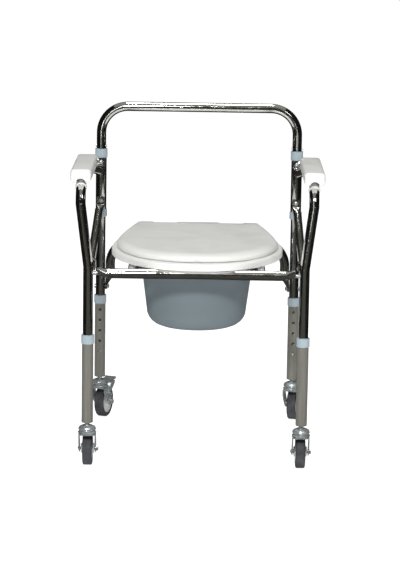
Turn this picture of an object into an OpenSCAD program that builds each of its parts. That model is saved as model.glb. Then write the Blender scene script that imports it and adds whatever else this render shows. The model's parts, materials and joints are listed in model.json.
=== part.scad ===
// Folding commode chair: a chromed steel tube frame on four height-adjustable legs with
// swivel casters, a plastic seat ring with a lid, and a bucket that slides under the seat.
// Millimetres. X is to the sitter's left, Y runs to the back of the chair, Z is up from the floor.
// The origin is on the floor under the middle of the chair's outline. Left and right in the names
// are as seen from the front, so left is towards -X.

/* [Frame] */
// Distance between the centres of the two front legs
front_track = 476; // [440:1:500]
// Distance between the centres of the two rear legs
rear_track = 460; // [430:1:490]
// Distance between the front and rear leg centres
leg_depth = 440; // [400:1:470]
// Height of the centre of the back bar above the floor
back_bar_z = 755; // [720:1:800]
// Centreline radius of the back bar's two corners
back_corner_r = 62; // [45:1:80]
// Outside diameter of the frame tube
tube_d = 22.2; // [20:0.1:24]
// Wall thickness of the frame tube
tube_wall = 1.5; // [1:0.1:2]

/* [Legs] */
// Outside diameter of the leg extensions and hinge sleeves
sleeve_d = 25.4; // [25.2:0.1:27]
// Height of the leg extension's lower end above the floor
leg_end_z = 105; // [100:1:115]
// Height of the middle of the leg collars
leg_collar_z = 294; // [285:1:305]
// Height of the lowest adjustment hole and of the spring button
button_z = 168; // [160:1:180]
// Distance between adjustment holes
hole_pitch = 25.4; // [20:0.1:26]
// Number of adjustment holes in each leg extension
hole_count = 5; // [3:1:5]

/* [Arms] */
// Distance between the centres of the two armrests
arm_track = 511; // [500:1:530]
// Height of the armrest tube's centre at its front end
arm_z = 641; // [636:1:644]
// How far the armrest tube drops from its front end to its back end
arm_drop = 8; // [4:1:10]
// Length of an armrest pad
pad_l = 302; // [240:1:320]
// Width of an armrest pad
pad_w = 46; // [40:1:50]
// Height of an armrest pad
pad_h = 30; // [26:1:34]

/* [Seat] */
// Height of the centre of the seat frame's tubes
rail_z = 442.5; // [435:0.5:448]
// Height of the bolts that the seat frame turns on
pivot_z = 325; // [320:1:330]
// Width of the seat ring
ring_w = 388; // [370:1:400]
// Width of the lid
lid_w = 366; // [350:1:376]
// Thickness of the seat ring
ring_h = 15; // [12:1:18]
// Thickness of the lid
lid_h = 16; // [12:1:18]

/* [Bucket] */
// Radius of the bucket under its rim
bucket_r = 126; // [118:1:126]
// Radius of the bucket's floor
bucket_floor_r = 113; // [100:1:116]
// Height of the underside of the bucket's floor
bucket_z = 293; // [280:1:300]

/* [Casters] */
// Radius of a wheel
wheel_r = 37.5; // [34:0.5:38]
// Width of a tyre
tyre_w = 22; // [18:1:24]
// Distance of the wheel's axle behind the swivel axis
trail = 28; // [20:1:30]
// Swivel angle of the rear left caster
rear_left_turn = 19; // [-30:1:30]
// Swivel angle of the rear right caster
rear_right_turn = 12; // [-30:1:30]

/* [Hidden] */
$fn = 48;

// The legs' middle is this far along Y, which centres the whole outline, pedals included, on Y = 0
shift_y = -24.7;
front_y = shift_y - leg_depth / 2;
rear_y = shift_y + leg_depth / 2;
tube_r = tube_d / 2;
bore_r = tube_r - tube_wall;
sleeve_r = sleeve_d / 2;
sleeve_bore_r = tube_r + 0.4;
collar_r = sleeve_r + 1.8;
frame_leg_end_z = button_z - 26;
hole_r = 3.6;
button_r = 3.3;

// Collars on the back uprights and the sleeve between them
upper_collar_z = [634, 655];
lower_collar_z = [493, 511];
stop_pin_z = 661;
stop_pin_r = 2.5;
arm_rivet_z = 625;
brace_rivet_z = 533;
brace_front_z = 459;
// The brace's front plate lies against the inner side of the front leg
brace_tab_t = 3.6;
brace_tab_x = front_track / 2 - tube_r - 2.4;
rivet_r = 3;
// The crimped ends are plates this thick, which lie just in front of the hinge sleeves
tab_t = 4;
tab_y = rear_y - sleeve_r - tab_t - 0.6;
// A crimp's round end stands proud of its tube by this much
knuckle_lap = 0.15;

// Arm tube: the leg leans out above the seat rail
kink_z = 457;
arm_bend_r = 45;
knuckle_r = tube_r + 0.06;
arm_straight_y = front_y + 292;
arm_slope = atan(arm_drop / (arm_straight_y - front_y - arm_bend_r));
pad_front_y = front_y - 12;

// Seat frame
small_tube_r = 9.5;
seat_rail_x = 143;
arch_x = 206.5;
arch_corner_r = 62;
arch_tilt = 12;
arch_h = (rail_z - pivot_z) / cos(arch_tilt);
arch_top_y = rear_y - arch_h * sin(arch_tilt);
peg_r = 4;
hook_x = 218;

// Seat
ring_z = rail_z + tube_r + 0.6;
lid_z = ring_z + ring_h + 1;
seat_front_y = front_y - 24;
seat_back_y = front_y + 418;
seat_mid_y = front_y + 205;
seat_hole_y = front_y + 190;
// How much narrower each side of the seat is at the back corners than at its widest
seat_taper = 36;
hinge_y = seat_back_y - 14;
// The lid's back edge swings down behind the pins, so the ring ends just in front of them
ring_back_y = hinge_y - 1;
hinge_z = ring_z + ring_h + 1;
hinge_x = 78;
hinge_pin_r = 4;
hinge_pin_l = 55;

// Bucket
rim_r = bucket_r + 12;
rim_z = rail_z - tube_r - 1.4;
rim_t = 3;
bucket_wall = 2.4;
bucket_corner_r = 34;
runner_y = front_y + 50;

// Caster heights
crown_z = 76.4;
race_z = 79;
cap_z = 86.4;
stem_r = 5.5;
axle_r = 3;
spacer_r = 4;
fork_gap = 34;
plate_t = 2.2;
pedal_pivot = [10, 62];
pedal_pin_r = 2;

// A rod between two points
module rod(p, q, r) {
  d = q - p;
  translate(p)
    rotate([0, acos(d[2] / norm(d)), atan2(d[1], d[0])])
      cylinder(r = r, h = norm(d));
}

// A quarter-turn bend of a rod or, with a bore, of a tube, in the X-Z plane
module bend(bend_r, r, bore = 0, angle = 90) {
  rotate([90, 0, 0])
    rotate_extrude(angle = angle, $fn = 96)
      translate([bend_r, 0])
        difference() {
          circle(r = r);
          if (bore > 0) circle(r = bore);
        }
}

// A straight tube along Z
module pipe(z0, z1, r, bore) {
  translate([0, 0, z0])
    difference() {
      cylinder(r = r, h = z1 - z0);
      translate([0, 0, -1]) cylinder(r = bore, h = z1 - z0 + 2);
    }
}

// A ring with square edges along Z
module collar(z0, z1, r, bore) {
  translate([0, 0, z0])
    rotate_extrude($fn = 64)
      polygon([[bore, 0], [r - 0.8, 0], [r, 0.8], [r, z1 - z0 - 0.8], [r - 0.8, z1 - z0],
               [bore, z1 - z0]]);
}

// ---- Fixed frame ----

module back_frame_tube() {
  color("silver")
    translate([0, rear_y, 0])
      difference() {
        union() {
          for (s = [-1, 1])
            translate([s * rear_track / 2, 0, 0])
              pipe(frame_leg_end_z, back_bar_z - back_corner_r, tube_r, bore_r);
          for (m = [0, 1])
            mirror([m, 0, 0])
              translate([rear_track / 2 - back_corner_r, 0, back_bar_z - back_corner_r])
                bend(back_corner_r, tube_r, bore_r);
          translate([-(rear_track / 2 - back_corner_r), 0, back_bar_z])
            rotate([0, 90, 0])
              pipe(0, rear_track - 2 * back_corner_r, tube_r, bore_r);
        }
        for (s = [-1, 1])
          translate([s * rear_track / 2, 0, 0]) {
            cross_hole(stop_pin_z, stop_pin_r + 0.05);
            cross_hole(pivot_z, rivet_r + 0.05);
            button_hole(button_z, -1);
          }
      }
}

// A hole along X through both walls of a leg tube
module cross_hole(z, r) {
  translate([-20, 0, z]) rotate([0, 90, 0]) cylinder(r = r, h = 40);
}

// A hole along Y through one wall of a leg tube, to the front (-1) or the back (1)
module button_hole(z, side) {
  translate([0, 0, z]) rotate([-90 * side, 0, 0]) cylinder(r = hole_r, h = 20);
}

// One side frame: front leg, arm and the flattened end on the hinge sleeve
module side_tube(s) {
  top = [s * arm_track / 2, front_y, arm_z - arm_bend_r];
  kink = [s * front_track / 2, front_y, kink_z];
  back = [s * arm_track / 2, arm_straight_y, arm_z - arm_drop];
  low = [s * (rear_track / 2 + 5), rear_y - 38, arm_rivet_z - 16];
  color("silver")
    difference() {
      union() {
        rod([kink[0], front_y, frame_leg_end_z], kink, tube_r);
        translate(kink) sphere(r = knuckle_r);
        rod(kink, top, tube_r);
        translate(top) sphere(r = knuckle_r);
        translate(top + [0, arm_bend_r, 0])
          rotate([0, 0, -90])
            bend(arm_bend_r, tube_r);
        translate([top[0], front_y + arm_bend_r, arm_z]) sphere(r = knuckle_r);
        rod([top[0], front_y + arm_bend_r, arm_z], back, tube_r);
        translate(back) sphere(r = knuckle_r);
        rod(back, low, tube_r);
        arm_tab(s, low);
      }
      translate([kink[0], front_y, frame_leg_end_z - 1]) cylinder(r = bore_r, h = 150);
      translate([kink[0], front_y, 0]) button_hole(button_z, 1);
      translate([kink[0], front_y, rail_z])
        rotate([0, -90 * s, 0]) cylinder(r = peg_r + 0.02, h = 20);
    }
}

// The crimped end of the arm tube against the front of the hinge sleeve
module arm_tab(s, low) {
  x = s * rear_track / 2;
  hull() {
    translate(low) sphere(r = tube_r + knuckle_lap, $fn = 32);
    translate([x - 11, tab_y, arm_rivet_z - 12]) cube([22, tab_t, 5]);
  }
  translate([x - 11, tab_y, arm_rivet_z - 12]) cube([22, tab_t, 20.5]);
}

module left_side_tube() { side_tube(-1); }
module right_side_tube() { side_tube(1); }

module hinge_sleeve(s) {
  color("gainsboro")
    translate([s * rear_track / 2, rear_y, 0])
      pipe(lower_collar_z[1] + 0.1, upper_collar_z[0] - 0.1, sleeve_r, sleeve_bore_r);
}

module left_hinge_sleeve() { hinge_sleeve(-1); }
module right_hinge_sleeve() { hinge_sleeve(1); }

module hinge_sleeve_collars() {
  color("lightsteelblue")
    for (s = [-1, 1], z = [upper_collar_z, lower_collar_z])
      translate([s * rear_track / 2, rear_y, 0])
        collar(z[0], z[1], collar_r, tube_r + 0.05);
}

// A diagonal tube from the hinge sleeve down to the front leg, crimped flat at both ends
module brace(s) {
  x = s * (rear_track / 2 + 3);
  back = [x, rear_y - 50, brace_rivet_z - 20];
  front = [x, front_y + 40, brace_front_z + 4];
  plate_x = s * brace_tab_x - brace_tab_t / 2;
  color("silver") {
    rod(front, back, small_tube_r);
    hull() {
      translate(back) sphere(r = small_tube_r + knuckle_lap, $fn = 32);
      translate([s * rear_track / 2 - 9, tab_y, brace_rivet_z - 13]) cube([18, tab_t, 5]);
    }
    translate([s * rear_track / 2 - 9, tab_y, brace_rivet_z - 13]) cube([18, tab_t, 22]);
    hull() {
      translate(front) sphere(r = small_tube_r + knuckle_lap, $fn = 32);
      translate([plate_x, front_y + 14, brace_front_z - 9]) cube([brace_tab_t, 2, 18]);
    }
    translate([plate_x, front_y - 8, brace_front_z - 9]) cube([brace_tab_t, 24, 18]);
  }
}

module left_brace() { brace(-1); }
module right_brace() { brace(1); }

// The points of a rectangle with round corners, centred on the origin
function round_rect(w, h, r) = [
  for (q = [0:3], t = [0:15:90])
    let (cx = (q == 0 || q == 3 ? 1 : -1) * (w / 2 - r), cy = (q < 2 ? 1 : -1) * (h / 2 - r))
      [cx + r * cos(q * 90 + t), cy + r * sin(q * 90 + t)]
];

// A moulded pad that sits over the arm tube, with a groove underneath for the tube
module arm_pad(s) {
  color("white")
    translate([s * arm_track / 2, front_y + arm_bend_r, arm_z])
      rotate([-arm_slope, 0, 0])
        translate([0, pad_front_y + pad_l - front_y - arm_bend_r, 0])
          rotate([90, 0, 0])
            linear_extrude(height = pad_l)
              difference() {
                translate([0, 1 + pad_h / 2]) polygon(round_rect(pad_w, pad_h, 8));
                circle(r = tube_r + 0.3);
              }
}

module left_arm_pad() { arm_pad(-1); }
module right_arm_pad() { arm_pad(1); }

// The thin white rings round the arm tube where it leaves the pads
module arm_pad_rings() {
  color("white")
    for (s = [-1, 1])
      translate([s * arm_track / 2, front_y + arm_bend_r, arm_z - arm_bend_r])
        rotate([-50, 0, 0])
          translate([0, -arm_bend_r, 0])
            rotate_extrude($fn = 64)
              translate([tube_r + 0.3, -2]) square([1.8, 4]);
}

// Rivets, stop pins and the pegs that the front rail hooks over
module frame_rivets() {
  color("lightgray")
    for (s = [-1, 1]) {
      for (z = [arm_rivet_z, brace_rivet_z])
        translate([s * rear_track / 2, tab_y - 0.1, z])
          rotate([90, 0, 0]) dome(5, 2.6);
      translate([s * (brace_tab_x - brace_tab_t / 2 - 0.1), front_y, brace_front_z])
        rotate([0, -90 * s, 0]) dome(5, 2.6);
      translate([s * rear_track / 2, rear_y, stop_pin_z])
        rotate([0, 90, 0])
          translate([0, 0, -tube_r - 2.5]) cylinder(r = stop_pin_r, h = 2 * tube_r + 5);
      translate([s * (front_track / 2 - 8), front_y, rail_z])
        rotate([0, -90 * s, 0]) cylinder(r = peg_r, h = 20);
    }
}

// A low round rivet head, its flat face at Z = 0
module dome(r, h) {
  intersection() {
    translate([0, 0, h - (r * r + h * h) / (2 * h)]) sphere(r = (r * r + h * h) / (2 * h));
    cylinder(r = r + 1, h = h + 1);
  }
}

// The bolts through the rear legs that the seat frame's arch turns on
module seat_pivot_bolts() {
  color("lightgray")
    for (s = [-1, 1])
      translate([s * rear_track / 2, rear_y, pivot_z])
        rotate([0, -90 * s, 0]) {
          translate([0, 0, -tube_r - 1]) cylinder(r = rivet_r, h = 2 * tube_r + 7.5);
          translate([0, 0, tube_r + 6.4]) dome(6.5, 4);
          translate([0, 0, -tube_r - 0.05]) rotate([180, 0, 0]) cylinder(r = 5, h = 3);
        }
}

// ---- Seat frame, which folds up about the pivot bolts ----

// The front rail, with flattened ends whose hooks rest on the pegs of the front legs
module front_rail() {
  end_x = hook_x - 22;
  color("silver")
    difference() {
      union() {
        translate([-end_x, front_y, rail_z])
          rotate([0, 90, 0]) cylinder(r = tube_r, h = 2 * end_x);
        for (s = [-1, 1])
          hull() {
            translate([s * end_x, front_y, rail_z])
              rotate([0, 90 * s, 0]) cylinder(r = tube_r, h = 0.1, $fn = 32);
            translate([s * hook_x - (s > 0 ? 4 : 0), front_y - 9, rail_z - 1])
              cube([4, 18, 12]);
          }
      }
      for (s = [-1, 1])
        translate([s * (hook_x - 15), front_y, rail_z]) {
          rotate([0, 90 * s, 0]) cylinder(r = peg_r + 0.6, h = 20);
          translate([s > 0 ? 0 : -20, -peg_r - 0.6, -20]) cube([20, 2 * peg_r + 1.2, 20]);
        }
    }
}

module seat_rail(s) {
  color("silver")
    translate([s * seat_rail_x, 0, rail_z])
      difference() {
        translate([0, front_y + 2, 0])
          rotate([-90, 0, 0]) cylinder(r = small_tube_r, h = arch_top_y - front_y - 4);
        for (y = [front_y, arch_top_y])
          translate([-20, y, 0]) rotate([0, 90, 0]) cylinder(r = tube_r + 0.05, h = 40);
      }
}

module left_seat_rail() { seat_rail(-1); }
module right_seat_rail() { seat_rail(1); }

// An arch of tube that leans forward from its two flattened, bolted feet
module rear_arch() {
  foot_h = 14;
  color("silver")
    translate([0, rear_y, pivot_z])
      rotate([arch_tilt, 0, 0])
        difference() {
          union() {
            translate([-(arch_x - arch_corner_r), 0, arch_h])
              rotate([0, 90, 0])
                cylinder(r = tube_r, h = 2 * (arch_x - arch_corner_r));
            for (m = [0, 1])
              mirror([m, 0, 0]) {
                translate([arch_x - arch_corner_r, 0, arch_h - arch_corner_r])
                  bend(arch_corner_r, tube_r);
                translate([arch_x, 0, foot_h + 18])
                  cylinder(r = tube_r, h = arch_h - arch_corner_r - foot_h - 18);
                hull() {
                  translate([arch_x, 0, foot_h + 18]) cylinder(r = tube_r, h = 0.1, $fn = 32);
                  translate([rear_track / 2 - tube_r - 5.4, -8, 6]) cube([5, 16, 2]);
                }
                translate([rear_track / 2 - tube_r - 5.4, 0, 0])
                  rotate([0, 90, 0]) cylinder(r = 8, h = 5);
                translate([rear_track / 2 - tube_r - 5.4, -8, 0]) cube([5, 16, 7]);
              }
          }
          translate([-rear_track / 2, 0, 0])
            rotate([0, 90, 0]) cylinder(r = rivet_r + 0.05, h = rear_track);
        }
}

// Two folded strips under the seat rails that carry the bucket's rim
module bucket_runners() {
  l = arch_top_y - tube_r - 8 - runner_y;
  web_x = seat_rail_x - 2;
  ledge = rim_z - rim_t - 0.6;
  color("gainsboro")
    for (m = [0, 1])
      mirror([m, 0, 0])
        translate([0, runner_y, 0]) {
          translate([bucket_r + 4, 0, ledge - 2]) cube([web_x - bucket_r - 2, l, 2]);
          difference() {
            translate([web_x, 0, ledge - 2]) cube([2, l, rail_z - ledge - 4]);
            translate([seat_rail_x, -1, rail_z])
              rotate([-90, 0, 0]) cylinder(r = small_tube_r + 0.05, h = l + 2);
          }
        }
}

// Plastic saddles on the arch that hold the seat's hinge pins
module hinge_brackets() {
  color("whitesmoke")
    for (s = [-1, 1])
      difference() {
        union() {
          translate([s * hinge_x - 9, hinge_y - 6.5, rail_z - 4])
            cube([18, arch_top_y - hinge_y + 21, hinge_z - rail_z - 1]);
          translate([s * hinge_x - 9, hinge_y, hinge_z])
            rotate([0, 90, 0]) cylinder(r = 6.8, h = 18);
        }
        translate([s * hinge_x - 20, arch_top_y, rail_z])
          rotate([0, 90, 0]) cylinder(r = tube_r + 0.05, h = 40);
        translate([s * hinge_x - 20, hinge_y, hinge_z])
          rotate([0, 90, 0]) cylinder(r = hinge_pin_r + 0.02, h = 40);
      }
}

module hinge_pins() {
  color("silver")
    for (s = [-1, 1])
      translate([s * hinge_x - hinge_pin_l / 2, hinge_y, hinge_z])
        rotate([0, 90, 0]) cylinder(r = hinge_pin_r, h = hinge_pin_l);
}

// ---- Seat ring and lid ----

// One quadrant's power curve: a point on a rounded outline at angle t
function power_point(a, b, n, t) = [
  a * sign(cos(t)) * pow(abs(cos(t)), 2 / n),
  b * sign(sin(t)) * pow(abs(sin(t)), 2 / n)
];

// The seat's outline: a round front, and sides that taper almost straight to square back corners
module seat_outline(w, front, back) {
  polygon(concat(
    [for (t = [180:5:360]) [0, seat_mid_y] + power_point(w / 2, seat_mid_y - front, 2.15, t)],
    [for (u = [0.1:0.1:1]) side_point(w / 2, back, u)],
    [for (u = [1:-0.1:0.1]) let (p = side_point(w / 2, back, u)) [-p[0], p[1]]]
  ));
}

// A point on the seat's right side, from its widest (u = 0) to its back corner (u = 1)
function side_point(half, back, u) =
  [half - seat_taper * pow(u, 1.35), seat_mid_y + u * (back - seat_mid_y)];

module seat_ring() {
  color("white")
    difference() {
      translate([0, 0, ring_z])
        linear_extrude(height = ring_h)
          difference() {
            seat_outline(ring_w, seat_front_y, ring_back_y);
            translate([0, seat_hole_y])
              polygon([for (t = [0:6:354]) power_point(106, 132, 2.2, t)]);
          }
      hinge_pockets(hinge_y - 11, ring_z + ring_h + 1);
    }
  color("white")
    for (s = [-1, 1], side = [-1, 1])
      hinge_lug(s * hinge_x + side * 14, ring_z + 3, ring_z + ring_h);
}

// Room in the back edge for the hinge brackets and lugs, behind y and up to a height
module hinge_pockets(y, top_z) {
  half = 28;
  low_z = ring_z - 1;
  for (s = [-1, 1])
    translate([s * hinge_x - half, y, low_z]) cube([2 * half, 60, top_z - low_z]);
}

// A lug with a running fit on a hinge pin, and its web between two heights
module hinge_lug(x, web_z0, web_z1) {
  difference() {
    union() {
      translate([x - 4, hinge_y, hinge_z]) rotate([0, 90, 0]) cylinder(r = 7, h = 8);
      translate([x - 4, hinge_y - 14, web_z0]) cube([8, 14, web_z1 - web_z0]);
    }
    translate([x - 10, hinge_y, hinge_z])
      rotate([0, 90, 0]) cylinder(r = hinge_pin_r + 0.06, h = 20);
  }
}

module seat_bumpers() {
  color("dimgray")
    for (s = [-1, 1], y = [front_y + 80, front_y + 320])
      translate([s * seat_rail_x, y, rail_z + small_tube_r + 0.3])
        cylinder(r = 8, h = ring_z - rail_z - small_tube_r - 0.3);
}

module lid() {
  color("white") {
    difference() {
      translate([0, 0, lid_z])
        linear_extrude(height = lid_h)
          seat_outline(lid_w, front_y - 5, seat_back_y);
      hinge_pockets(hinge_y - 11, hinge_z + 9);
      hinge_pockets(hinge_y + 4, lid_z + lid_h + 1);
    }
    for (s = [-1, 1], side = [-1, 1])
      hinge_lug(s * hinge_x + side * 23, hinge_z, lid_z + 10);
  }
}

module lid_bumpers() {
  color("dimgray")
    for (s = [-1, 1], y = [front_y + 60, front_y + 330])
      translate([s * 125, y, ring_z + ring_h + 0.3]) cylinder(r = 6, h = 0.7);
}

// ---- Bucket ----

module bucket() {
  wall_top = rim_z;
  h = wall_top - bucket_z;
  r = bucket_corner_r;
  color("slategray")
    translate([0, seat_hole_y, bucket_z])
      rotate_extrude($fn = 96)
        polygon(concat(
          [[0, 0]],
          [for (t = [0:15:90]) [bucket_floor_r - r + r * sin(t), r - r * cos(t)]],
          [[bucket_r, h - rim_t], [rim_r, h - rim_t], [rim_r, h]],
          [[bucket_r - bucket_wall, h]],
          [for (t = [90:-15:0])
            [bucket_floor_r - r + (r - bucket_wall) * sin(t), r - (r - bucket_wall) * cos(t)]],
          [[0, bucket_wall]]
        ));
}

// ---- Legs and casters ----

// A leg's centre: s is -1 or 1 for left or right, and front is true for the front pair
function leg_x(s, front) = s * (front ? front_track : rear_track) / 2;
function leg_y(front) = front ? front_y : rear_y;

// The sliding leg extension. The rear legs' holes face forward and the front legs' face back.
module leg(s, front) {
  side = front ? 1 : -1;
  color("darkkhaki")
    translate([leg_x(s, front), leg_y(front), 0])
      difference() {
        pipe(leg_end_z, leg_collar_z - 9, sleeve_r, sleeve_bore_r);
        for (i = [0:hole_count - 1]) button_hole(button_z + i * hole_pitch, side);
      }
}

// The collar at the leg extension's top and the plug in its lower end
module bushes(s, front) {
  color("lightsteelblue")
    translate([leg_x(s, front), leg_y(front), 0]) {
      difference() {
        collar(leg_collar_z - 10, leg_collar_z + 10, collar_r, tube_r + 0.35);
        translate([0, 0, leg_collar_z - 11]) cylinder(r = sleeve_r + 0.05, h = 2.1);
      }
      collar(leg_end_z, leg_end_z + 30, sleeve_bore_r - 0.05, stem_r + 0.02);
    }
}

// A bent leaf spring inside the leg tube with the round button that locks the leg. It leaves
// room behind it for the button's travel.
module snap_button(s, front) {
  color("lightgray")
    translate([leg_x(s, front), leg_y(front), button_z])
      rotate([0, 0, front ? 180 : 0]) {
        translate([-3, -7.2, -6]) cube([6, 1, 44]);
        translate([-3, -6.9, 37]) cube([6, 11.2, 1]);
        translate([-3, 3.4, 8]) cube([6, 1, 30]);
        rotate([90, 0, 0]) {
          translate([0, 0, 7]) cylinder(r = button_r, h = sleeve_r - 6.2);
          translate([0, 0, sleeve_r + 0.8]) dome(button_r, 1.8);
        }
      }
}

// The threaded stem and the upper race, fixed in the leg's plug
module caster_top(s, front) {
  color("lightgray")
    translate([leg_x(s, front), leg_y(front), 0]) {
      cylinder_z(cap_z + 4, leg_end_z + 28, stem_r);
      translate([0, 0, cap_z])
        rotate_extrude($fn = 64)
          polygon([[0, 0], [17, 0], [19.5, 2], [19.5, 5], [17.5, 8.5], [12, 11.2], [0, 12.2]]);
    }
}

module cylinder_z(z0, z1, r) {
  translate([0, 0, z0]) cylinder(r = r, h = z1 - z0);
}

// Puts a caster's moving parts at its leg, turned about the swivel axis
module at_swivel(s, front, turn) {
  translate([leg_x(s, front), leg_y(front), 0])
    rotate([0, 0, -turn]) children();
}

// The fork: lower race, crown and two side plates that reach back to the axle
module fork(s, front, turn, pedal) {
  color("lightgray")
    at_swivel(s, front, turn)
      difference() {
        union() {
          translate([0, 0, race_z - 0.1])
            rotate_extrude($fn = 64)
              polygon([[0, 0], [17, 0], [20.5, 2.5], [20.5, 4], [17, 7], [0, 7]]);
          translate([-fork_gap / 2 - plate_t, -15, crown_z])
            cube([fork_gap + 2 * plate_t, 30, race_z - crown_z + 0.1]);
          for (side = [-1, 1])
            translate([side * (fork_gap + plate_t) / 2, 0, 0]) fork_plate();
          if (pedal)
            for (side = [-1, 1])
              translate([side * fork_gap / 2, pedal_pivot[0], pedal_pivot[1]])
                rotate([0, 90 * side, 0]) cylinder(r = pedal_pin_r, h = plate_t + 4.6);
        }
        translate([-30, trail, wheel_r]) rotate([0, 90, 0]) cylinder(r = axle_r + 0.02, h = 60);
      }
}

// One side plate of the fork in the Y-Z plane
module fork_plate() {
  translate([-plate_t / 2, 0, 0])
    rotate([90, 0, 90])
      linear_extrude(height = plate_t)
        union() {
          polygon([[-15, race_z], [-15, 68], [-9, 56], [trail - 8, wheel_r - 7],
                   [trail + 8, wheel_r + 5], [17, 68], [15, race_z]]);
          translate([trail, wheel_r]) circle(r = 9);
        }
}

// The axle bolt with its head, spacer tube and nut
module axle(s, front, turn) {
  half = fork_gap / 2;
  color("silver")
    at_swivel(s, front, turn)
      translate([0, trail, wheel_r])
        rotate([0, 90, 0]) {
          translate([0, 0, -half - 4]) cylinder(r = axle_r, h = 2 * half + 10);
          translate([0, 0, -half + 0.1]) cylinder(r = spacer_r, h = 2 * half - 0.2);
          translate([0, 0, -half - plate_t - 0.1]) rotate([180, 0, 0]) dome(5.5, 3.2);
          translate([0, 0, half + plate_t + 0.1]) cylinder(r = 5.8, h = 4.6, $fn = 6);
        }
}

// The wheel's moulded centre with a dished disc on each side
module hub(s, front, turn) {
  rim = 27;
  w = tyre_w / 2;
  color("lightgray")
    at_swivel(s, front, turn)
      translate([0, trail, wheel_r])
        rotate([0, 90, 0])
          rotate_extrude($fn = 72)
            polygon([[spacer_r + 0.06, -w - 4], [10, -w - 4], [12, -w - 1.5], [24, -w + 1],
                     [rim, -w + 1], [rim, w - 1], [24, w - 1], [12, w + 1.5], [10, w + 4],
                     [spacer_r + 0.06, w + 4]]);
}

module tyre(s, front, turn) {
  rim = 27.02;
  w = tyre_w / 2;
  color("dimgray")
    at_swivel(s, front, turn)
      translate([0, trail, wheel_r])
        rotate([0, 90, 0])
          rotate_extrude($fn = 96)
            polygon([[rim, -w + 1], [32, -w], [35.5, -w + 0.6], [wheel_r, -w + 3],
                     [wheel_r, w - 3], [35.5, w - 0.6], [32, w], [rim, w - 1]]);
}

// A foot lever over the wheel, with a shoe that presses on the tyre
module brake_pedal(s, turn) {
  arm_x = fork_gap / 2 + plate_t + 0.4;
  color("lightgray")
    at_swivel(s, false, turn)
      difference() {
        union() {
          for (side = [-1, 1])
            translate([side > 0 ? arm_x : -arm_x - 1.8, 0, 0])
              rotate([90, 0, 90])
                linear_extrude(height = 1.8)
                  union() {
                    translate(pedal_pivot) circle(r = 5);
                    polygon([[pedal_pivot[0] - 3, 65], [pedal_pivot[0] + 5, 60], [46, 80],
                             [46, 86], [24, 86]]);
                  }
          translate([-arm_x - 1.8, 24, 84]) cube([2 * arm_x + 3.6, 24, 2]);
          translate([-14, 46, 84]) cube([28, 26, 2]);
          translate([-14, 70, 84]) cube([28, 2, 5]);
          translate([-8, 32, 79]) cube([16, 12, 6]);
        }
        for (side = [-1, 1])
          translate([side * 15, pedal_pivot[0], pedal_pivot[1]])
            rotate([0, 90 * side, 0]) cylinder(r = pedal_pin_r + 0.06, h = 20);
      }
}

back_frame_tube();
left_side_tube();
right_side_tube();
left_hinge_sleeve();
right_hinge_sleeve();
hinge_sleeve_collars();
left_brace();
right_brace();
left_arm_pad();
right_arm_pad();
arm_pad_rings();
frame_rivets();
seat_pivot_bolts();
front_rail();
left_seat_rail();
right_seat_rail();
rear_arch();
bucket_runners();
hinge_brackets();
hinge_pins();
seat_ring();
seat_bumpers();
lid();
lid_bumpers();
bucket();
leg(-1, true);  // front_left_leg
bushes(-1, true);  // front_left_bushes
snap_button(-1, true);  // front_left_snap_button
caster_top(-1, true);  // front_left_caster_top
fork(-1, true, 0, false);  // front_left_fork
axle(-1, true, 0);  // front_left_axle
hub(-1, true, 0);  // front_left_hub
tyre(-1, true, 0);  // front_left_tyre
leg(1, true);  // front_right_leg
bushes(1, true);  // front_right_bushes
snap_button(1, true);  // front_right_snap_button
caster_top(1, true);  // front_right_caster_top
fork(1, true, 0, false);  // front_right_fork
axle(1, true, 0);  // front_right_axle
hub(1, true, 0);  // front_right_hub
tyre(1, true, 0);  // front_right_tyre
leg(-1, false);  // rear_left_leg
bushes(-1, false);  // rear_left_bushes
snap_button(-1, false);  // rear_left_snap_button
caster_top(-1, false);  // rear_left_caster_top
fork(-1, false, rear_left_turn, true);  // rear_left_fork
axle(-1, false, rear_left_turn);  // rear_left_axle
hub(-1, false, rear_left_turn);  // rear_left_hub
tyre(-1, false, rear_left_turn);  // rear_left_tyre
brake_pedal(-1, rear_left_turn);  // rear_left_brake_pedal
leg(1, false);  // rear_right_leg
bushes(1, false);  // rear_right_bushes
snap_button(1, false);  // rear_right_snap_button
caster_top(1, false);  // rear_right_caster_top
fork(1, false, rear_right_turn, true);  // rear_right_fork
axle(1, false, rear_right_turn);  // rear_right_axle
hub(1, false, rear_right_turn);  // rear_right_hub
tyre(1, false, rear_right_turn);  // rear_right_tyre
brake_pedal(1, rear_right_turn);  // rear_right_brake_pedal
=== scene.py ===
import json
import math

import bmesh
import bpy
from mathutils import Matrix, Vector


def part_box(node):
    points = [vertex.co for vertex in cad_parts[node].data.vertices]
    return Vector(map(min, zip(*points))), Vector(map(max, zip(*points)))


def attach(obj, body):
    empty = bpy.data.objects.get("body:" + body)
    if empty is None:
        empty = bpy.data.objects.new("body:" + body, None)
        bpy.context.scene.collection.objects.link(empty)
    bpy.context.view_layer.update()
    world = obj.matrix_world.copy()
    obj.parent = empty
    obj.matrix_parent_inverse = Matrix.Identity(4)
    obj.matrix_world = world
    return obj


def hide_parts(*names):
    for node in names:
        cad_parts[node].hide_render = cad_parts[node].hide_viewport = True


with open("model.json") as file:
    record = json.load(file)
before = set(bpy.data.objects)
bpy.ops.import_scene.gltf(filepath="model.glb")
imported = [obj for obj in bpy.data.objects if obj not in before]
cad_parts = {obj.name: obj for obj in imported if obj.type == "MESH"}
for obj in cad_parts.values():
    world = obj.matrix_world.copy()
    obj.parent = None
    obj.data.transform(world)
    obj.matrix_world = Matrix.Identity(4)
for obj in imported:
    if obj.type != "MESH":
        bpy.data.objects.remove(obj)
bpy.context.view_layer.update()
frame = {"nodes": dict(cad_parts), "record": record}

MM = 0.001
SIDES = ((-1, "left"), (1, "right"))


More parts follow.
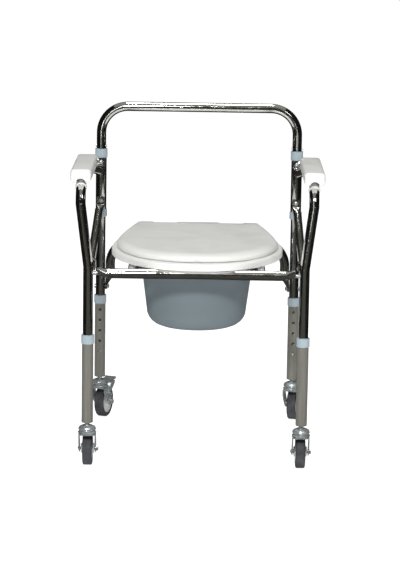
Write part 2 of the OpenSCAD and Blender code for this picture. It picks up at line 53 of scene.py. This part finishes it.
def middle(node):
    """The middle of a CAD node's box."""
    low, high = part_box(node)
    return (low + high) / 2


# ---- Places, taken from the frame, and sizes that repeat the CAD part's ----

FRONT_Y = middle("front_left_leg").y
ARM_X = middle("right_arm_pad").x
TUBE_R = 11.1 * MM

LID_LOW, LID_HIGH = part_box("lid")
RING_LOW, RING_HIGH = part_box("seat_ring")
SEAT_MID_Y = FRONT_Y + 205 * MM
SEAT_HOLE_Y = FRONT_Y + 190 * MM
SEAT_TAPER = 36 * MM
SEAT_GAP = 1 * MM
HOLE_HALF_W = 106 * MM
HOLE_HALF_L = 132 * MM

PIN_HALF = 27.5 * MM
PIN_R = 4 * MM
PIN_CLEARANCE = 0.06 * MM
HINGE = middle("hinge_pins")
HINGE_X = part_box("hinge_pins")[1].x - PIN_HALF
LUG_HALF_W = 4 * MM
LUG_R = 7 * MM
LUG_WEB = (14 * MM, 4.4 * MM)
LID_LUG_X = 23 * MM
RING_LUG_X = 14 * MM
POCKET_HALF_W = 28 * MM
POCKET_FRONT = 11 * MM

# The armrest tube's front end, how far it drops and over what length
ARM_FRONT_Y = FRONT_Y + 45 * MM
ARM_FRONT_Z = 641 * MM
ARM_DROP = 8
ARM_RUN = 247
PAD_HALF_W = 23 * MM
PAD_HEIGHTS = (1 * MM, 31 * MM)
PAD_CORNER = 8 * MM
PAD_START = -57 * MM
PAD_LENGTH = 302 * MM


# ---- Materials ----

def material(name, colour, metallic=0.0, roughness=0.4, coat=0.0, specular=0.5):
    """A new material and its shader node, with the values that are the same all over set on the shader."""
    mat = bpy.data.materials.new(name)
    mat.use_nodes = True
    shader = mat.node_tree.nodes["Principled BSDF"]
    shader.inputs["Base Color"].default_value = (*colour, 1)
    shader.inputs["Metallic"].default_value = metallic
    shader.inputs["Roughness"].default_value = roughness
    shader.inputs["Coat Weight"].default_value = coat
    shader.inputs["Specular IOR Level"].default_value = specular
    return mat, shader


def noise(mat, scale, detail=4.0, stretch=(1, 1, 1), roughness=0.5):
    """A noise texture in the object's own metres, stretched along its axes."""
    nodes, links = mat.node_tree.nodes, mat.node_tree.links
    place = nodes.new("ShaderNodeTexCoord")
    mapping = nodes.new("ShaderNodeMapping")
    mapping.inputs["Scale"].default_value = stretch
    texture = nodes.new("ShaderNodeTexNoise")
    texture.inputs["Scale"].default_value = scale
    texture.inputs["Detail"].default_value = detail
    texture.inputs["Roughness"].default_value = roughness
    links.new(place.outputs["Object"], mapping.inputs["Vector"])
    links.new(mapping.outputs["Vector"], texture.inputs["Vector"])
    return texture.outputs["Fac"]


def spread(mat, factor, low, high, socket, start=0.35, end=0.65):
    """Maps a texture's middle range to values from low to high on a shader socket."""
    node = mat.node_tree.nodes.new("ShaderNodeMapRange")
    for name, value in (("From Min", start), ("From Max", end), ("To Min", low), ("To Max", high)):
        node.inputs[name].default_value = value
    mat.node_tree.links.new(factor, node.inputs["Value"])
    mat.node_tree.links.new(node.outputs["Result"], socket)


def tint(mat, factor, dark, light, socket, start=0.3, end=0.7):
    """Blends between two colours by a texture on a shader socket."""
    ramp = mat.node_tree.nodes.new("ShaderNodeValToRGB")
    ramp.color_ramp.elements[0].position = start
    ramp.color_ramp.elements[0].color = (*dark, 1)
    ramp.color_ramp.elements[1].position = end
    ramp.color_ramp.elements[1].color = (*light, 1)
    mat.node_tree.links.new(factor, ramp.inputs["Fac"])
    mat.node_tree.links.new(ramp.outputs["Color"], socket)


def bump(mat, shader, factor, depth, strength=1.0):
    """Relief of a given depth in metres from a texture."""
    node = mat.node_tree.nodes.new("ShaderNodeBump")
    node.inputs["Strength"].default_value = strength
    node.inputs["Distance"].default_value = depth
    mat.node_tree.links.new(factor, node.inputs["Height"])
    mat.node_tree.links.new(node.outputs["Normal"], shader.inputs["Normal"])


def shades(colour, dark=0.9, light=1.06):
    """A darker and a lighter version of a colour."""
    return [[min(1, c * k) for c in colour] for k in (dark, light)]


def chrome():
    """Bright plating with faint cloudiness."""
    colour = (0.80, 0.80, 0.78)
    mat, shader = material("chrome", colour, metallic=1, roughness=0.05)
    spread(mat, noise(mat, 60, 6), 0.03, 0.11, shader.inputs["Roughness"])
    tint(mat, noise(mat, 9, 3), *shades(colour, 0.93, 1.03), shader.inputs["Base Color"])
    bump(mat, shader, noise(mat, 420, 3), 0.00001, 0.35)
    return mat


def satin_steel():
    """Brushed olive-grey tube, its grain drawn along Z. Part diffuse, so it takes the soft light."""
    colour = (0.30, 0.292, 0.258)
    mat, shader = material("satin_steel", colour, metallic=0.45, roughness=0.36)
    spread(mat, noise(mat, 260, 5, (1, 1, 0.04)), 0.28, 0.44, shader.inputs["Roughness"])
    tint(mat, noise(mat, 160, 5, (1, 1, 0.05)), *shades(colour, 0.86, 1.1), shader.inputs["Base Color"])
    bump(mat, shader, noise(mat, 900, 3, (1, 1, 0.03)), 0.00002, 0.4)
    return mat


def zinc():
    """Dull plated steel of the casters and bolts."""
    colour = (0.60, 0.64, 0.655)
    mat, shader = material("zinc", colour, metallic=0.7, roughness=0.28)
    spread(mat, noise(mat, 110, 5), 0.2, 0.38, shader.inputs["Roughness"])
    tint(mat, noise(mat, 70, 6), *shades(colour, 0.86, 1.08), shader.inputs["Base Color"])
    bump(mat, shader, noise(mat, 700, 4), 0.00003, 0.5)
    return mat


def plastic(name, colour, roughness, grain, depth, coat=0.0):
    """Moulded plastic: a fine grain, and faint changes of shade and gloss."""
    mat, shader = material(name, colour, roughness=roughness, coat=coat)
    spread(mat, noise(mat, 30, 5), roughness - 0.05, roughness + 0.08, shader.inputs["Roughness"])
    tint(mat, noise(mat, 7, 5), *shades(colour, 0.965, 1.015), shader.inputs["Base Color"])
    bump(mat, shader, noise(mat, grain, 3, roughness=0.6), depth, 0.5)
    return mat


def tyre_rubber():
    """Scuffed dark grey tread."""
    colour = (0.050, 0.051, 0.058)
    mat, shader = material("tyre_rubber", colour, roughness=0.68, specular=0.35)
    spread(mat, noise(mat, 90, 6), 0.58, 0.8, shader.inputs["Roughness"])
    tint(mat, noise(mat, 55, 6), *shades(colour, 0.75, 1.5), shader.inputs["Base Color"])
    bump(mat, shader, noise(mat, 800, 4), 0.00008, 0.6)
    return mat


MATERIALS = {
    "chrome": chrome(),
    "satin_steel": satin_steel(),
    "zinc": zinc(),
    "white_plastic": plastic("white_plastic", (0.83, 0.83, 0.815), 0.34, 1500, 0.00004, 0.08),
    "collar_plastic": plastic("collar_plastic", (0.36, 0.44, 0.485), 0.48, 1300, 0.00004),
    "bucket_plastic": plastic("bucket_plastic", (0.15, 0.188, 0.208), 0.52, 1100, 0.00005),
    "wheel_plastic": plastic("wheel_plastic", (0.50, 0.52, 0.51), 0.42, 1300, 0.00004),
    "bumper_rubber": plastic("bumper_rubber", (0.07, 0.075, 0.08), 0.65, 900, 0.00006),
    "tyre_rubber": tyre_rubber(),
}


def paint(obj, slot):
    """Gives a whole object one of the materials."""
    obj.data.materials.clear()
    obj.data.materials.append(MATERIALS[slot])


# The CAD nodes carry their slots in the record
for part in frame["record"]["subparts"]:
    paint(frame["nodes"][part["node"]], part["material_slot"])


# ---- Modelled pieces ----

def new_piece(name, bm, body, node, slot):
    """A modelled piece that rides on a body, stands for a CAD node and takes its finish from a slot."""
    mesh = bpy.data.meshes.new(name)
    bmesh.ops.recalc_face_normals(bm, faces=bm.faces)
    bm.to_mesh(mesh)
    bm.free()
    obj = bpy.data.objects.new(name, mesh)
    bpy.context.scene.collection.objects.link(obj)
    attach(obj, body)
    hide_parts(node)
    paint(obj, slot)
    return obj


def smooth(obj, angle=32):
    """Smooth shading, except across edges sharper than an angle."""
    obj.data.shade_smooth()
    obj.data.set_sharp_from_angle(angle=math.radians(angle))


def add_box(bm, low, high):
    """Adds a box between two corners."""
    size = Vector(high) - Vector(low)
    place = Matrix.Translation((Vector(high) + Vector(low)) / 2) @ Matrix.Diagonal((*size, 1))
    bmesh.ops.create_cube(bm, size=1, matrix=place)


def carve(obj, boxes):
    """Cuts boxes out of a piece."""
    bm = bmesh.new()
    for low, high in boxes:
        add_box(bm, low, high)
    mesh = bpy.data.meshes.new("cutter")
    bm.to_mesh(mesh)
    bm.free()
    cutter = bpy.data.objects.new("cutter", mesh)
    bpy.context.scene.collection.objects.link(cutter)
    cut = obj.modifiers.new("cut", "BOOLEAN")
    cut.operation, cut.object, cut.solver = "DIFFERENCE", cutter, "EXACT"
    bpy.context.view_layer.update()
    result = bpy.data.meshes.new_from_object(obj.evaluated_get(bpy.context.evaluated_depsgraph_get()))
    obj.modifiers.clear()
    obj.data = result
    bpy.data.objects.remove(cutter)


def power(value, exponent):
    """A power that keeps the value's sign."""
    return math.copysign(abs(value) ** exponent, value)


def seat_outline(half, front, back):
    """The seat's outline: a round front, and sides that taper almost straight to the back corners."""
    exponent = 2 / 2.15
    bow = 1.35
    rear_steps = 24
    points = []
    for degrees in range(180, 361, 2):
        t = math.radians(degrees)
        points.append((half * power(math.cos(t), exponent),
                       SEAT_MID_Y + (SEAT_MID_Y - front) * power(math.sin(t), exponent)))
    steps = [i / 10 for i in range(1, 11)]
    side = [(half - SEAT_TAPER * u ** bow, SEAT_MID_Y + u * (back - SEAT_MID_Y)) for u in steps]
    corner = side[-1][0]
    rear = [(corner - 2 * corner * i / rear_steps, back) for i in range(1, rear_steps)]
    return points + side + rear + [(-x, y) for x, y in reversed(side)]


def join_rings(bm, rings, closed):
    """Quads between rings of the same number of points, and end caps unless the rings close."""
    made = [[bm.verts.new(point) for point in ring] for ring in rings]
    count = len(made[0])
    pairs = list(zip(made, made[1:])) + ([(made[-1], made[0])] if closed else [])
    for lower, upper in pairs:
        for i in range(count):
            j = (i + 1) % count
            bm.faces.new((lower[i], lower[j], upper[j], upper[i]))
    if not closed:
        bm.faces.new(reversed(made[0]))
        bm.faces.new(made[-1])


def add_lug(bm, x, low_z, high_z):
    """A lug round the hinge pin, and its web between two heights."""
    half, outer, inner = LUG_HALF_W, LUG_R, PIN_R + PIN_CLEARANCE
    sides = 48
    angles = [math.radians(360 / sides * i) for i in range(sides)]
    rings = []
    for across, radius in ((-half, outer), (half, outer), (half, inner), (-half, inner)):
        rings.append([(x + across, HINGE.y + radius * math.cos(a), HINGE.z + radius * math.sin(a))
                      for a in angles])
    join_rings(bm, rings, True)
    web_front, web_back = LUG_WEB
    add_box(bm, (x - half, HINGE.y - web_front, low_z), (x + half, HINGE.y - web_back, high_z))


def hinge_pockets(depth, low_z, high_z):
    """Boxes at both hinges, from a depth in front of the pins to behind the seat."""
    half, behind = POCKET_HALF_W, 40 * MM
    return [((side * HINGE_X - half, HINGE.y - depth, low_z),
             (side * HINGE_X + half, HINGE.y + behind, high_z)) for side, _ in SIDES]


def add_lugs(obj, offset, low_z, high_z):
    """Adds two lugs at each hinge to a finished piece."""
    bm = bmesh.new()
    bm.from_mesh(obj.data)
    for side, _ in SIDES:
        for step in (-1, 1):
            add_lug(bm, side * HINGE_X + step * offset, low_z, high_z)
    bm.to_mesh(obj.data)
    bm.free()


def model_lid():
    """A flat top, a skirt that curves down to the rim, and a finger notch at the front."""
    bottom, top, back = HINGE.z, LID_HIGH.z, LID_HIGH.y
    edge_h, skirt, notch_half, notch_depth = 4 * MM, 0.09, 10 * MM, 6 * MM
    lip, lip_h, margin = 0.004, 1 * MM, 5 * MM
    outline = seat_outline(LID_HIGH.x, LID_LOW.y, back)
    sections = [(1 - lip, bottom), (1, bottom + lip_h), (1, bottom + edge_h)]
    for degrees in range(9, 91, 9):
        a = math.radians(degrees)
        rise = (top - bottom - edge_h) * math.sin(a)
        sections.append((1 - skirt * (1 - math.cos(a)), bottom + edge_h + rise))
    rings = []
    for scale, z in sections:
        ring = []
        for x, y in outline:
            inset = 0
            if abs(x) < notch_half and y < SEAT_MID_Y:
                fade = (top - z) / (top - bottom)
                inset = notch_depth * math.cos(math.pi * x / notch_half / 2) ** 2 * fade
            ring.append((x * scale, back + (y - back) * scale + inset, z))
        rings.append(ring)
    bm = bmesh.new()
    join_rings(bm, rings, False)
    obj = new_piece("lid_shell", bm, "lid", "lid", "white_plastic")
    # Shallow pockets over the hinges, then slots right through behind them, in turn because they overlap
    carve(obj, hinge_pockets(POCKET_FRONT, bottom - margin, bottom + 9 * MM))
    carve(obj, hinge_pockets(-4 * MM, bottom - 4 * MM, top + margin))
    add_lugs(obj, LID_LUG_X, HINGE.z, HINGE.z + 10 * MM)
    smooth(obj)


def hole_point(x, y):
    """Where the line from the hole's middle to a point crosses the hole's edge."""
    exponent = 2.2
    dy = y - SEAT_HOLE_Y
    reach = (abs(x / HOLE_HALF_W) ** exponent + abs(dy / HOLE_HALF_L) ** exponent) ** (-1 / exponent)
    return Vector((x * reach, SEAT_HOLE_Y + dy * reach, 0))


def model_ring():
    """The seat ring, with a rolled outer edge and a softer roll into the hole."""
    bottom, top = RING_LOW.z, HINGE.z - SEAT_GAP
    outer_roll, inner_roll, margin = 5 * MM, 6 * MM, 5 * MM
    outline = seat_outline(RING_HIGH.x, RING_LOW.y, HINGE.y - SEAT_GAP)
    quarter = [math.radians(a) for a in range(0, 91, 15)]
    rings = []
    for x, y in outline:
        outer, inner = Vector((x, y, 0)), hole_point(x, y)
        span = (inner - outer).length
        across = (inner - outer).normalized()
        profile = [(0, bottom)]
        profile += [(outer_roll * (1 - math.cos(a)), top - outer_roll * (1 - math.sin(a))) for a in quarter]
        profile += [(span - inner_roll * (1 - math.sin(a)), top - inner_roll * (1 - math.cos(a)))
                    for a in quarter]
        profile.append((span, bottom))
        rings.append([outer + across * u + Vector((0, 0, z)) for u, z in profile])
    bm = bmesh.new()
    join_rings(bm, rings, True)
    obj = new_piece("seat_ring_moulding", bm, "seat_ring", "seat_ring", "white_plastic")
    carve(obj, hinge_pockets(POCKET_FRONT, bottom - margin, top + margin))
    add_lugs(obj, RING_LUG_X, bottom + 3 * MM, top)
    smooth(obj)


def pad_profile(inset):
    """The pad's section, drawn in from its outside by an inset, with the tube's groove underneath."""
    half, corner = PAD_HALF_W - inset, PAD_CORNER - inset
    low, high = PAD_HEIGHTS[0] + inset, PAD_HEIGHTS[1] - inset
    groove_r = TUBE_R + 0.3 * MM
    groove_x = math.sqrt(groove_r ** 2 - low ** 2)
    right, left = half - corner, corner - half
    centres = ((right, low + corner), (right, high - corner), (left, high - corner), (left, low + corner))
    points = [(groove_x, low)]
    for quarter, (cx, cz) in enumerate(centres):
        for step in range(7):
            a = math.radians(90 * (quarter - 1) + 15 * step)
            points.append((cx + corner * math.cos(a), cz + corner * math.sin(a)))
    points.append((-groove_x, low))
    start = math.atan2(low, -groove_x)
    end = math.atan2(low, groove_x)
    groove_steps = 16
    for step in range(1, groove_steps):
        a = start + (end - start) * step / groove_steps
        points.append((groove_r * math.cos(a), groove_r * math.sin(a)))
    return points


def model_pad(side, name):
    """An armrest pad over the sloping arm tube, with rolled ends."""
    roll, deepest = 9 * MM, 7 * MM
    place = Vector((side * ARM_X, ARM_FRONT_Y, ARM_FRONT_Z))
    turn = Matrix.Rotation(-math.atan2(ARM_DROP, ARM_RUN), 4, "X")
    quarter = [math.radians(15 * i) for i in range(7)]
    stations = [(PAD_START + roll * (1 - math.cos(a)), deepest * (1 - math.sin(a))) for a in quarter]
    stations += [(2 * PAD_START + PAD_LENGTH - y, inset) for y, inset in reversed(stations)]
    bm = bmesh.new()
    rings = [[place + turn @ Vector((x, y, z)) for x, z in pad_profile(inset)] for y, inset in stations]
    join_rings(bm, rings, False)
    obj = new_piece(f"{name}_pad_moulding", bm, "frame", f"{name}_arm_pad", "white_plastic")
    smooth(obj, 40)


model_lid()
model_ring()
for pad_side, pad_name in SIDES:
    model_pad(pad_side, pad_name)


# ---- Stage: floor, lights and the dark cards that chrome needs to reflect ----

def plane(name, width, height, place, turn=(0, 0, 0)):
    """A flat rectangle that isn't part of the object."""
    half_w, half_h = width / 2, height / 2
    mesh = bpy.data.meshes.new(name)
    corners = [(-half_w, -half_h, 0), (half_w, -half_h, 0), (half_w, half_h, 0), (-half_w, half_h, 0)]
    mesh.from_pydata(corners, [], [(0, 1, 2, 3)])
    obj = bpy.data.objects.new(name, mesh)
    obj.location = place
    obj.rotation_euler = [math.radians(a) for a in turn]
    bpy.context.scene.collection.objects.link(obj)
    return obj


def floor():
    """A wide white floor, bright enough to read as the background too."""
    obj = plane("floor", 80, 80, (0, 0, 0))
    mat, shader = material("floor_white", (0.6, 0.6, 0.6), roughness=0.9, specular=0.1)
    shader.inputs["Emission Color"].default_value = (1, 1, 1, 1)
    shader.inputs["Emission Strength"].default_value = 0.9
    obj.data.materials.append(mat)


def only_reflected(obj, mat):
    """Gives a card its material and hides it from all but mirror reflections."""
    obj.data.materials.append(mat)
    obj.visible_camera = False
    obj.visible_diffuse = False
    obj.visible_shadow = False


def reflected_cards():
    """A dark room for the chrome: side flags, a dark ground, and one thin bright strip in front."""
    black, _ = material("flag_black", (0.006, 0.006, 0.006), roughness=1, specular=0)
    for side, name in SIDES:
        only_reflected(plane(f"flag_{name}", 3.2, 2.2, (side * 1.15, -0.05, 1.101), (90, 0, 90)), black)
    brown, _ = material("ground_dark", (0.055, 0.052, 0.045), roughness=1, specular=0)
    only_reflected(plane("ground_card", 60, 60, (0, 0, 0.4 * MM)), brown)
    bright, shader = material("strip_bright", (1, 1, 1), roughness=1)
    shader.inputs["Emission Color"].default_value = (1, 1, 0.98, 1)
    shader.inputs["Emission Strength"].default_value = 4
    only_reflected(plane("front_strip", 0.14, 2.4, (-0.7, -3.4, 1.3), (90, 0, 0)), bright)


def softbox(name, place, aim, width, height, watts):
    """A rectangular soft light turned towards a point."""
    data = bpy.data.lights.new(name, "AREA")
    data.shape = "RECTANGLE"
    data.size, data.size_y = width, height
    data.energy = watts
    obj = bpy.data.objects.new(name, data)
    obj.location = place
    obj.rotation_euler = (Vector(aim) - Vector(place)).to_track_quat("-Z", "Y").to_euler()
    bpy.context.scene.collection.objects.link(obj)


def surroundings():
    """Dark at the horizon and olive grey overhead."""
    world = bpy.data.worlds.new("studio")
    bpy.context.scene.world = world
    world.use_nodes = True
    nodes, links = world.node_tree.nodes, world.node_tree.links
    place = nodes.new("ShaderNodeTexCoord")
    axes = nodes.new("ShaderNodeSeparateXYZ")
    ramp = nodes.new("ShaderNodeValToRGB")
    stops = ((0.0, (0.01, 0.01, 0.01)), (0.3, (0.02, 0.02, 0.018)),
             (0.55, (0.17, 0.17, 0.15)), (1.0, (0.3, 0.3, 0.275)))
    elements = ramp.color_ramp.elements
    while len(elements) < len(stops):
        elements.new(0.5)
    for element, (position, colour) in zip(elements, stops):
        element.position = position
        element.color = (*colour, 1)
    links.new(place.outputs["Generated"], axes.inputs["Vector"])
    links.new(axes.outputs["Z"], ramp.inputs["Fac"])
    links.new(ramp.outputs["Color"], nodes["Background"].inputs["Color"])
    nodes["Background"].inputs["Strength"].default_value = 1.0


floor()
reflected_cards()
surroundings()
LIT_POINT = (0, 0, 0.4)
softbox("key", (-0.4, -3.7, 2.6), LIT_POINT, 0.4, 0.4, 110)
softbox("fill", (1.9, -2.6, 2.1), LIT_POINT, 0.8, 0.8, 12)
softbox("top", (0, 0.3, 3.2), LIT_POINT, 0.9, 0.5, 30)


# ---- Camera ----

def camera():
    """Seen from the front, a little from above, 5.5 m from the front legs."""
    data = bpy.data.cameras.new("camera")
    data.sensor_fit = "HORIZONTAL"
    data.sensor_width = 36
    data.lens = 228.6
    obj = bpy.data.objects.new("camera", data)
    pan, tilt, roll = (math.radians(a) for a in (0.196, 78.561, 0.883))
    turn = Matrix.Rotation(pan, 4, "Z") @ Matrix.Rotation(tilt, 4, "X") @ Matrix.Rotation(roll, 4, "Z")
    obj.matrix_world = Matrix.Translation((0.0270, FRONT_Y - 5.4769, 1.5277)) @ turn
    bpy.context.scene.collection.objects.link(obj)
    bpy.context.scene.camera = obj


camera()
bpy.context.scene.view_settings.view_transform = "Standard"
